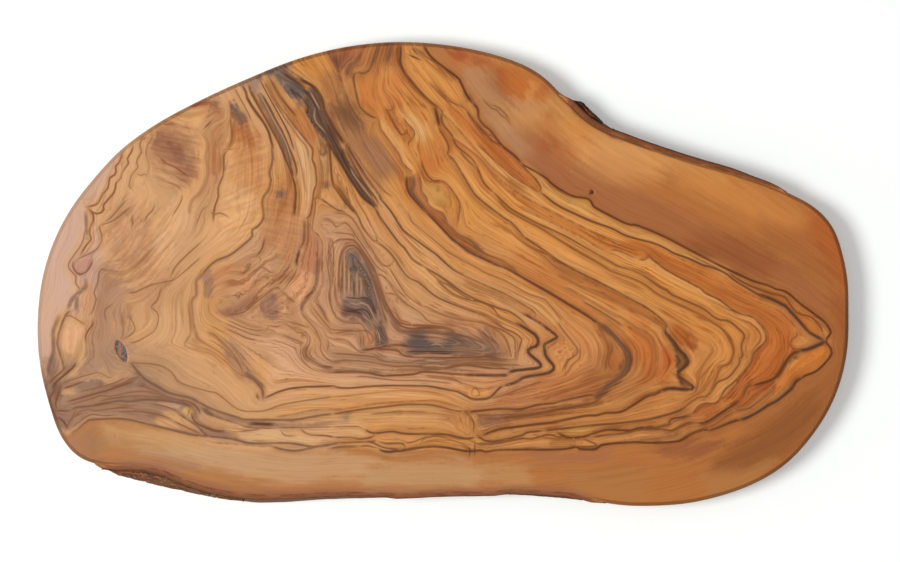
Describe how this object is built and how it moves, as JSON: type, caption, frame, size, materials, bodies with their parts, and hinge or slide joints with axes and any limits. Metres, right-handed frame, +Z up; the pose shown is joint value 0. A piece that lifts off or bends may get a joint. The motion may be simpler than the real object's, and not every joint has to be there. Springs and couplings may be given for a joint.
{
  "type": "live edge cutting board",
  "caption": "Free-form wooden cutting and serving board cut from one flat slab, with natural bark edges and a flat underside.",
  "frame": {"origin": "middle of the outline's box, on the underside that the board rests on", "axes": "+X along the board's length, towards the narrower end; +Y towards the rear edge; +Z up, out of the working face"},
  "size_m": [0.5, 0.286, 0.02],
  "materials": {
    "olive_wood": "oiled satin, sanded smooth",
    "inner_bark": "dry, brushed, lightly oiled",
    "outer_bark": "dry, rough and flaky",
    "dead_wood": "oiled, dull"
  },
  "bodies": {
    "root": {"slab": "olive_wood", "rear_inner_bark": "inner_bark", "rear_bark_rind": "outer_bark", "rear_bark_stub": "outer_bark", "front_inner_bark": "inner_bark", "front_rough_bark": "outer_bark", "front_bark_crust": "outer_bark", "bark_pocket": "dead_wood", "pin_knot": "dead_wood"}
  },
  "joints": []
}
